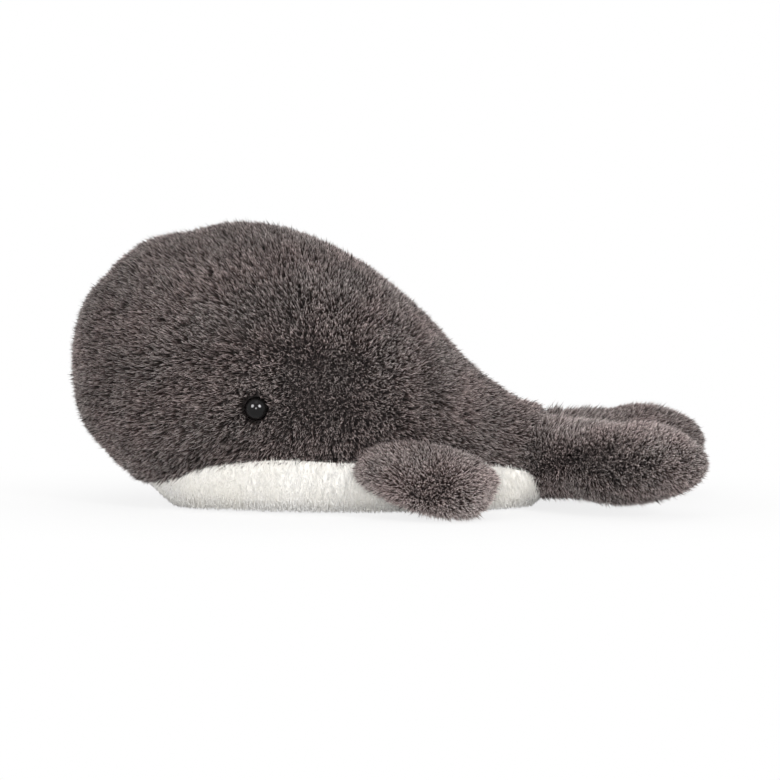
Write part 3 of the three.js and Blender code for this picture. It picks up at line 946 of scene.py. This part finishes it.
def grow(name, pile, points, facing, comb, tallness, lighter=0.0):
    """Tufts of strands. comb says how far the tips lie over, along the surface, for each unit of height."""
    count = len(points)
    comb = comb + pile.ripple * wave_noise(points, **COMB_WAVES) + pile.jitter * rng.normal(size=(count, 3))
    comb -= (comb * facing).sum(-1, keepdims=True) * facing
    roots = points - pile.root_depth * facing
    tall = (pile.height * tallness * (1 + HEIGHT_SPREAD_SHARE * rng.uniform(-1, 1, count)))[:, None]
    tips = roots + tall * facing + tall * comb
    patch = wave_noise(points, **TONE_WAVES)[:, 0]
    tuft_tone = MIDDLE_SHARE + lighter + TONE_PATCH_SHARE * patch + TUFT_TONE_SHARE * rng.normal(size=count)
    tint = MIDDLE_SHARE + TINT_PATCH_SHARE * wave_noise(points, **TINT_WAVES)[:, 0]
    order = np.argsort(points[:, 0], kind="stable")
    pieces = math.ceil(count * STRANDS_IN_TUFT / MOST_STRANDS)
    made = []
    for number, part in enumerate(np.array_split(order, pieces)):
        part = np.repeat(part, STRANDS_IN_TUFT)
        strands = len(part)
        sway = rng.normal(size=(strands, 3))
        sway -= (sway * facing[part]).sum(-1, keepdims=True) * facing[part]
        root = roots[part] + pile.tuft_radius * sway
        reach = 1 + REACH_SPREAD_SHARE * rng.uniform(*REACH_RANGE_SHARES, (strands, 1))
        reach += pile.guard * np.clip(GUARD_SHARE - rng.random((strands, 1)), 0, 1) / GUARD_SHARE
        tip = roots[part] + (tips[part] - roots[part]) * reach
        tip += pile.tuft_radius * TIP_SWAY_SHARE * sway + pile.tip_spread * rng.normal(size=(strands, 3))
        rise = ((tip - root) * facing[part]).sum(-1, keepdims=True)
        control = root + (BEND_ALONG_SHARE * (tip - root)) + BEND_RISE_SHARE * rise * facing[part]
        tone = tuft_tone[part] + STRAND_TONE_SHARE * rng.normal(size=strands)
        tone = np.clip(tone, *TONE_RANGE_SHARES)
        strand_tint = tint[part] + STRAND_TINT_SHARE * rng.normal(size=strands)
        band = np.floor(TINT_BANDS * np.clip(strand_tint, *TINT_RANGE_SHARES))
        widths = pile.width * (1 + WIDTH_SPREAD_SHARE * rng.normal(size=strands)).clip(*WIDTH_RANGE_SHARES)
        ending = f"_{number + 1}" if pieces > 1 else ""
        made.append(strand_mesh(name + ending, root, control, tip, widths, tone, band))
    return made


# How the pile of the body lies
WHORL = np.array([-0.017, 0, 0.052])  # the pile is brushed outwards from this place on each side
WHORL_REACH = 0.034
BODY_LEAN = 0.72  # how far the tips lie over, for each unit of the pile's height
EYE_PARTING = 0.006
EYE_LEAN = 0.4
DART_TOP = np.array([-0.066, 0.095])  # X and height of the ends of the seam that rounds the head
DART_FOOT = np.array([-0.058, 0.075])
DART_WIDTH = 0.0022
DART_LEAN = 0.2
DART_LIGHTER = 0.16


def from_dart(points):
    """The way from the head's seam to places on the body, along X and up, and how near they are to it."""
    places = points[:, [0, 2]]
    line = DART_FOOT - DART_TOP
    share = np.clip((places - DART_TOP) @ line / (line @ line), 0, 1)
    away = places - DART_TOP - share[:, None] * line
    return away, np.exp(-((np.linalg.norm(away, axis=-1) / DART_WIDTH) ** 2))


def body_comb(points):
    away = (points - WHORL) * (1, 0, 1)
    distance = np.linalg.norm(away, axis=-1, keepdims=True)
    strength = 1 - np.exp(-((distance / WHORL_REACH) ** 2))
    comb = BODY_LEAN * strength * unit(away)
    from_eye = points - np.array(EYE_POINT)
    near = np.exp(-((np.linalg.norm(from_eye, axis=-1, keepdims=True) / EYE_PARTING) ** 2))
    away, near_dart = from_dart(points)
    comb[:, [0, 2]] += DART_LEAN * near_dart[:, None] * unit(away)
    return comb * (1 - near) + EYE_LEAN * near * unit(from_eye)


PILE_OVER_SEAM = 0.0003  # how far above the seam the last grey roots are
EYE_CLEARANCE = 0.0001
SUNK_SHARE = 0.12  # roots deeper than this in a limb are left out


def from_tail_hinge(points):
    return np.hypot(points[:, 0] - TAIL_HINGE_X, points[:, 2] - TAIL_Z)


def clear_of_limbs(points):
    in_fluke = (FLUKE.depth(points) > SUNK_SHARE) & (from_tail_hinge(points) > TAIL_RADIUS - CLOTH_DEPTH)
    return (FLIPPER.depth(points) < SUNK_SHARE) & ~in_fluke


def keep_on_side(points, facing):
    from_eye = points - np.array(EYE_POINT)
    clear = np.linalg.norm(from_eye, axis=-1) > EYE_RADIUS + EYE_CLEARANCE
    above = points[:, 2] > seam_height(points[:, 0]) + PILE_OVER_SEAM
    return clear & above & clear_of_limbs(points) & (points[:, 1] < 0)


NOSE_TALLNESS = 0.2  # the pile that stands out at the nose is taller
NOSE_REACH = 0.01
CHIN_SHORTNESS = 0.1
CHIN_START = 0.15
# Painted light: from here to the tail the body's pile grows lighter over the back, as if more light fell on
# that end.
TAIL_PAINTED_LIGHT = 0.1
TAIL_PAINTED_LIGHT_START = -0.03
TAIL_TOP_X = 0.056  # where the body's pile is shortest, so that its back runs on into the flukes
TAIL_TOP_REACH = 0.011
TAIL_TOP_SHORTNESS = 0.2


def side_pile(side):
    turns = (math.pi / 2, math.pi * 3 / 2)
    points, facing = scatter(body_face, *turns, GREY_PILE.density, keep_on_side)
    # The dart's lighter tone, plus painted light towards the tail.
    to_tail = np.clip((points[:, 0] - TAIL_PAINTED_LIGHT_START) / (TAIL_HINGE_X - TAIL_PAINTED_LIGHT_START), 0, 1)
    lighter = DART_LIGHTER * from_dart(points)[1] + TAIL_PAINTED_LIGHT * to_tail
    tallness = 1 + NOSE_TALLNESS * np.clip(1 - (points[:, 0] - NOSE_X) / NOSE_REACH, 0, 1)
    tallness -= CHIN_SHORTNESS * np.clip(-facing[:, 2] - CHIN_START, 0, 1)
    at_tail_top = np.exp(-(((points[:, 0] - TAIL_TOP_X) / TAIL_TOP_REACH) ** 2))
    tallness -= TAIL_TOP_SHORTNESS * at_tail_top * np.clip(facing[:, 2], 0, 1)
    name = f"side_panel_{side}_pile"
    return grow(name, GREY_PILE, points, facing, body_comb(points), tallness, lighter)


BELLY_LEAN = 2.6
BELLY_START_X = -0.096  # where the white begins at the chin; its ground lies deeper there
CHIN_SINK = 0.0025
CHIN_SINK_REACH = 0.016
BELLY_COMB_ALONG = 0.15
BELLY_COMB_ASIDE = -0.1
WHITE_OVER_SEAM = 0.0008  # how far above the seam the last white roots are, under the grey pile
SEAM_TUFT_REACH = 0.0009  # the white pile stands taller and lies over less within about this of the seam
SEAM_TUFT_LEAN = 1.16
SEAM_TUFT_SPREAD = 0.12
SEAM_TUFT_TALLNESS = 0.4
HANG_HEIGHT = 0.008  # below this the white pile hangs longer, down to the floor
HANG_SHARE = 2.6
HANG_LEAN = 0.9  # how far its tips lie over at the floor, where BELLY_LEAN is that of the rest
UNDERSIDE_DENSITY_SHARE = 0.35
UNDERSIDE_FACING = -0.93


def chin_sink(x):
    """How much deeper the white ground lies near the chin than farther back."""
    return CHIN_SINK * np.clip(1 - (x - BELLY_START_X) / CHIN_SINK_REACH, 0, 1)


def keep_on_belly(points, facing):
    below = points[:, 2] < seam_height(points[:, 0]) + WHITE_OVER_SEAM
    thin = (facing[:, 2] > UNDERSIDE_FACING) | (rng.random(len(points)) < UNDERSIDE_DENSITY_SHARE)
    return below & thin & clear_of_limbs(points) & (points[:, 1] < 0)


def belly_pile(side):
    turns = (math.pi, math.pi * 3 / 2)
    points, facing = scatter(body_face, *turns, WHITE_PILE.density, keep_on_belly)
    at_seam = np.exp(-np.clip(seam_height(points[:, 0]) - points[:, 2], 0, 1) / SEAM_TUFT_REACH)
    low = np.clip(1 - points[:, 2] / HANG_HEIGHT, 0, 1)
    lean = BELLY_LEAN + (HANG_LEAN - BELLY_LEAN) * np.sqrt(low)
    comb = np.empty_like(points)
    comb[:] = (BELLY_COMB_ALONG, BELLY_COMB_ASIDE, 0)
    comb[:, 2] = SEAM_TUFT_LEAN * at_seam - lean
    comb += at_seam[:, None] * SEAM_TUFT_SPREAD * rng.normal(size=comb.shape)
    comb -= (comb * facing).sum(-1, keepdims=True) * facing
    tallness = 1 + HANG_SHARE * low + SEAM_TUFT_TALLNESS * at_seam
    fall = -WHITE_PILE.height * (facing + comb)[:, 2]
    room = np.maximum(points[:, 2] - WHITE_PILE.root_depth * facing[:, 2] - FLOOR_CLEARANCE, 0)
    tallness = np.where(fall > 0, np.minimum(tallness, room / np.maximum(fall, TINY)), tallness)
    points = points - chin_sink(points[:, :1]) * facing
    return grow(f"belly_panel_pile_{side}", WHITE_PILE, points, facing, comb, tallness)


# Limbs: both panels of a limb, its pile and its cloth
LIMB_LEAN = 0.7
FLUKE_IN_BODY = 0.002  # how far inside the body's surface a limb's pile starts
FLIPPER_IN_BODY = 0.0015
FLUKE_FROM_MIDDLE = 0.0004
LIMB_PILE = GREY_PILE._replace(height=0.0043, guard=0.3)
FLIPPER_FRONT = np.array([-0.7, 0, 0.7])  # the pile is shorter on the flippers' faces that look this way
FLIPPER_FRONT_SHORTNESS = 0.45
LIMB_FAN = 0.5  # how far the tips lie over to the edges
LIMB_WHORL_REACH = 0.25  # of a limb's length, over which its pile turns from the root to the tip
TIP_START = 0.6
TIP_TALLNESS = 0.08
TIP_LIGHTER = 0.08
FLIPPER_LIGHTER = 0.33
FLUKE_TOP_PAINTED_LIGHT = 0.24  # painted light along the top of each fluke, as if lit from above
FLUKE_TOP_LIGHT_POWER = 3
FLUKE_INNER_PAINTED_SHADE = 0.2  # painted shade on the faces that the two flukes turn to each other
FLUKE_ROOT_SHARE = 0.5  # of its length, over which the pile on a fluke's top grows shorter from its root
FLUKE_ROOT_TALLNESS = 0.8
FLUKE_WAIST_SHARE = 0.55  # where along its length the pile on its top is short
FLUKE_WAIST_REACH = 0.11
FLUKE_WAIST_SHORTNESS = 0.45
FLUKE_END_SHARE = 0.75  # from here to its tip that pile grows shorter again
FLUKE_END_SHORTNESS = 0.45


def fluke_top_tallness(along):
    """How much taller or shorter the pile is on a fluke's top than on its sides."""
    at_root = np.clip(1 - along / FLUKE_ROOT_SHARE, 0, 1)
    at_waist = np.exp(-(((along - FLUKE_WAIST_SHARE) / FLUKE_WAIST_REACH) ** 2))
    at_end = np.clip((along - FLUKE_END_SHARE) / (1 - FLUKE_END_SHARE), 0, 1)
    return FLUKE_ROOT_TALLNESS * at_root - FLUKE_WAIST_SHORTNESS * at_waist - FLUKE_END_SHORTNESS * at_end


def inside_body(points, margin):
    return np.abs(points[:, 1]) < half_width_at(points[:, 0], points[:, 2]) - margin


def limb_pile(name, limb, first_turn, keep, lighter):
    turns = (first_turn, first_turn + math.pi)
    points, facing = scatter(limb.skin, *turns, LIMB_PILE.density, keep)
    along, wide, thick = limb.shares_of(points).T
    lengthwise = LIMB_LEAN * np.clip((along - limb.whorl_share) / LIMB_WHORL_REACH, -1, 1)
    comb = np.stack([lengthwise, LIMB_FAN * wide, LIMB_FAN * thick], axis=-1) @ limb.place[:3, :3].T
    tallness = 1 + TIP_TALLNESS * np.clip((along - TIP_START) / (1 - TIP_START), 0, 1)
    lighter = lighter + TIP_LIGHTER * np.clip((along - TIP_START) / (1 - TIP_START), 0, 1)
    if limb is FLIPPER:
        tallness -= FLIPPER_FRONT_SHORTNESS * np.clip(facing @ FLIPPER_FRONT, 0, 1)
    if limb is FLUKE:
        tallness += fluke_top_tallness(along) * np.clip(facing[:, 2], 0, 1)
        # Painted light along the top of each fluke.
        lighter += FLUKE_TOP_PAINTED_LIGHT * np.clip(facing[:, 2], 0, 1) ** FLUKE_TOP_LIGHT_POWER
        # Painted shade on the faces that the two flukes turn to each other, where they shade one another.
        lighter -= FLUKE_INNER_PAINTED_SHADE * np.clip(facing[:, 1], 0, 1)
    return grow(name, LIMB_PILE, points, facing, comb, tallness, lighter)


def keep_on_fluke(points, facing):
    return ~inside_body(points, FLUKE_IN_BODY) & (points[:, 1] < -FLUKE_FROM_MIDDLE)


def keep_on_flipper(points, facing):
    return ~inside_body(points, FLIPPER_IN_BODY)


def limb_cloth(name, skin, first_turn):
    shares = side_share(np.linspace(0, 1, ALONG_STEPS // 2 + 1))
    turns = first_turn + np.linspace(0, math.pi, AROUND_STEPS // 2 + 1)
    share, turn = np.meshgrid(shares, turns, indexing="ij")
    points, facing = skin(share, turn)
    return shell_sheet(name, points - CLOTH_DEPTH * facing, points - PLUSH_THICKNESS * facing)


# Eyes
EYE_STEPS = 48
DOME_STEPS = 16


def add_catch_lamps(eyes):
    """Two lamps that give the eyes their bright spots, and reach only the eyes."""
    lit = bpy.data.collections.new("lit_by_catch_lamps")
    for eye in eyes:
        lit.objects.link(eye)
    for aside in (-FRONT_LAMP_ASIDE, FRONT_LAMP_ASIDE):
        lamp = add_lamp("catch_lamp", aside, FRONT_LAMP_HEIGHT, CATCH_LAMP_STRENGTH, CATCH_LAMP_SPREAD)
        lamp.visible_diffuse = False
        lamp.light_linking.receiver_collection = lit


def eye_piece(name):
    """Dome with a rounded rim, a flat back and a stem with a grip of small rings."""
    stem_end = -EYE_SUNK - STEM_LENGTH
    profile = [(0, stem_end), (STEM_RADIUS * STEM_TIP_WIDTH_SHARE, stem_end)]
    groove = STEM_RADIUS * STEM_GROOVE_WIDTH_SHARE
    for ring in range(STEM_RINGS):
        top = stem_end + STEM_LENGTH * (STEM_TIP_SHARE + STEM_GRIP_SHARE * ring / STEM_RINGS)
        profile += [(groove, top - RING_SLOPE), (STEM_RADIUS, top), (groove, top + RING_EDGE)]
    profile += [(STEM_RADIUS, -EYE_SUNK), (EYE_RADIUS * EYE_BACK_SHARE, -EYE_SUNK)]
    profile.append((EYE_RADIUS, EYE_BACK_ROUND - EYE_SUNK))
    for step in range(DOME_STEPS + 1):
        turn = step / DOME_STEPS * math.pi / 2
        radius = EYE_RADIUS * math.cos(turn) if step < DOME_STEPS else 0
        profile.append((radius, EYE_RIM - EYE_SUNK + (EYE_HEIGHT - EYE_RIM) * math.sin(turn)))
    around = np.linspace(0, 2 * math.pi, EYE_STEPS, endpoint=False)
    points = [[(r * math.cos(a), r * math.sin(a), z) for a in around] for r, z in profile]
    points = np.array(points)
    index = np.arange(len(profile) * EYE_STEPS).reshape(len(profile), EYE_STEPS)
    following = np.roll(index, -1, axis=1)
    faces = np.stack([index[:-1], following[:-1], following[1:], index[1:]], axis=-1).reshape(-1, 4)
    piece = weld(add_mesh(name, points.reshape(-1, 3), faces.ravel(), np.arange(len(faces)) * 4))
    turn = EYE_OUTWARD.to_track_quat("Z", "Y").to_matrix().to_4x4()
    piece.data.transform(Matrix.Translation(EYE_POINT) @ turn)
    return piece


# Stuffing and pouch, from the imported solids' own shapes
STUFFING_VOXEL = 0.0022
LUMP = 0.0004
LUMP_INSET_SHARE = 0.3  # of a lump, by which the whole form lies in
SMOOTHING_SHARE = 0.5
SMOOTHINGS = 3


def filled_form(node, name):
    """A rounded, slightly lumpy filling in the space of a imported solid."""
    piece = bpy.data.objects.new(name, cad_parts[node].data.copy())
    bpy.context.scene.collection.objects.link(piece)
    piece.data.materials.clear()
    remesh = piece.modifiers.new("remesh", "REMESH")
    remesh.mode = "VOXEL"
    remesh.voxel_size = STUFFING_VOXEL
    smooth = piece.modifiers.new("smooth", "SMOOTH")
    smooth.factor = SMOOTHING_SHARE
    smooth.iterations = SMOOTHINGS
    bpy.context.view_layer.update()
    shaped = piece.evaluated_get(bpy.context.evaluated_depsgraph_get())
    mesh = bpy.data.meshes.new_from_object(shaped)
    piece.modifiers.clear()
    piece.data = mesh
    points = np.empty(len(mesh.vertices) * 3, np.float32)
    normals = np.empty(len(mesh.vertices) * 3, np.float32)
    mesh.vertices.foreach_get("co", points)
    mesh.vertices.foreach_get("normal", normals)
    points, normals = points.reshape(-1, 3), normals.reshape(-1, 3)
    swell = wave_noise(points.astype(float), **LUMP_WAVES)[:, :1]
    points += normals * (LUMP * np.minimum(swell, 0) - LUMP * LUMP_INSET_SHARE)
    mesh.vertices.foreach_set("co", points.ravel())
    mesh.update()
    mesh.shade_smooth()
    return piece


# Assembly
BLEND_START_X = 0.052  # from here to the tail runs the span that place_limb works out for the flukes' pieces; nothing bends them
BLEND_LENGTH = 0.034
FLIPPER_BLEND_LENGTH = 0.014


def dress(piece, finish, slot, *nodes):
    piece.data.materials.clear()
    piece.data.materials.append(finish)
    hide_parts(*nodes)


def place_body(piece, finish, slot, *nodes):
    dress(piece, finish, slot, *nodes)
    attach(piece, "whale_body")


grey_pile = pile_finish(
    "grey_pile",
    GREY_PILE_STOPS,
    contrast=2.5,
    tints=GREY_TINTS,
    sheen=0.12,
    sheen_tint=srgb(178, 166, 162),
)
white_pile = pile_finish(
    "white_pile",
    WHITE_PILE_STOPS,
    contrast=0.06,
    tints=WHITE_TINTS,
    sheen=0.2,
    sheen_tint=(1, 1, 1, 1),
)
grey_cloth = cloth_finish("grey_cloth", srgb(34, 28, 28), srgb(58, 50, 49), PLUSH_KNIT_SCALE)
white_cloth = cloth_finish("white_cloth", srgb(246, 243, 236), srgb(253, 251, 247), PLUSH_KNIT_SCALE)
pouch_cloth = cloth_finish("pouch_cloth", srgb(202, 194, 178), srgb(231, 225, 211), POUCH_KNIT_SCALE)
fibre = fibre_finish()
eye_gloss = eye_finish()
washer_plastic = washer_finish()

make_camera()
make_stage()


def grey_depth(x):
    return CLOTH_DEPTH


def white_depth(x):
    return BELLY_CLOTH_DEPTH + chin_sink(x)


shares = side_share(np.linspace(0, 1, ALONG_STEPS + 1))
seam = seam_turn(shares)
top_line = np.full(len(shares), math.pi / 2 + SEAM_TURN)
for side in SIDES:
    node = f"side_panel_{side}"
    cloth = for_side(body_cloth(node + "_cloth", top_line, seam - SEAM_TURN, shares, grey_depth), side)
    place_body(cloth, grey_cloth, "grey_plush", node)
    for pile in side_pile(side):
        place_body(for_side(pile, side), grey_pile, "grey_plush", node)
    for pile in belly_pile(side):
        place_body(for_side(pile, side), white_pile, "white_plush", "belly_panel")
on_belly = shares[seam < math.pi * 3 / 2 - LEAST_BELLY_TURN]
belly_seam = seam_turn(on_belly)
last_turn = 3 * math.pi - belly_seam - SEAM_TURN
belly_cloth = body_cloth("belly_panel_cloth", belly_seam + SEAM_TURN, last_turn, on_belly, white_depth)
place_body(belly_cloth, white_cloth, "white_plush", "belly_panel")


def place_limb(piece, limb, side, finish, slot, node):
    dress(piece, finish, slot, node)
    sign = 1 if side == "left" else -1
    if limb == "fluke":
        start = Vector((BLEND_START_X, 0, TAIL_Z))
        end = start + Vector((BLEND_LENGTH, 0, 0))
    else:
        start = Vector((FLIPPER_HINGE.x, sign * FLIPPER_HINGE.y, FLIPPER_HINGE.z))
        end = start + FLIPPER_BLEND_LENGTH * Vector((FLIPPER_OUT.x, sign * FLIPPER_OUT.y, FLIPPER_OUT.z))
    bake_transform(piece)


LIMBS = {"flipper": (FLIPPER, keep_on_flipper, FLIPPER_LIGHTER), "fluke": (FLUKE, keep_on_fluke, 0)}
for limb, (form, keep, lighter) in LIMBS.items():
    for side in SIDES:
        for panel, first_turn in (("upper_panel", 0), ("under_panel", math.pi)):
            node = f"{limb}_{side}_{panel}"
            cloth = for_side(limb_cloth(node + "_cloth", form.skin, first_turn), side)
            place_limb(cloth, limb, side, grey_cloth, "grey_plush", node)
            for pile in limb_pile(node + "_pile", form, first_turn, keep, lighter):
                place_limb(for_side(pile, side), limb, side, grey_pile, "grey_plush", node)
        node = f"{limb}_{side}_stuffing"
        stuffing = filled_form(node, node + "_fibre")
        place_limb(stuffing, limb, side, fibre, "stuffing_fibre", node)

stuffing = filled_form("body_stuffing", "body_stuffing_fibre")
place_body(stuffing, fibre, "stuffing_fibre", "body_stuffing")
pouch = filled_form("pellet_pouch", "pellet_pouch_bag")
place_body(pouch, pouch_cloth, "pellet_pouch", "pellet_pouch")

eyes = [for_side(eye_piece(f"eye_{side}_dome"), side) for side in SIDES]
for side, eye in zip(SIDES, eyes):
    place_body(eye, eye_gloss, "eye_gloss", f"eye_{side}")
    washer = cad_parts[f"eye_washer_{side}"]
    washer.data.materials.clear()
    washer.data.materials.append(washer_plastic)

add_catch_lamps(eyes)

bpy.context.scene.view_settings.view_transform = "Standard"
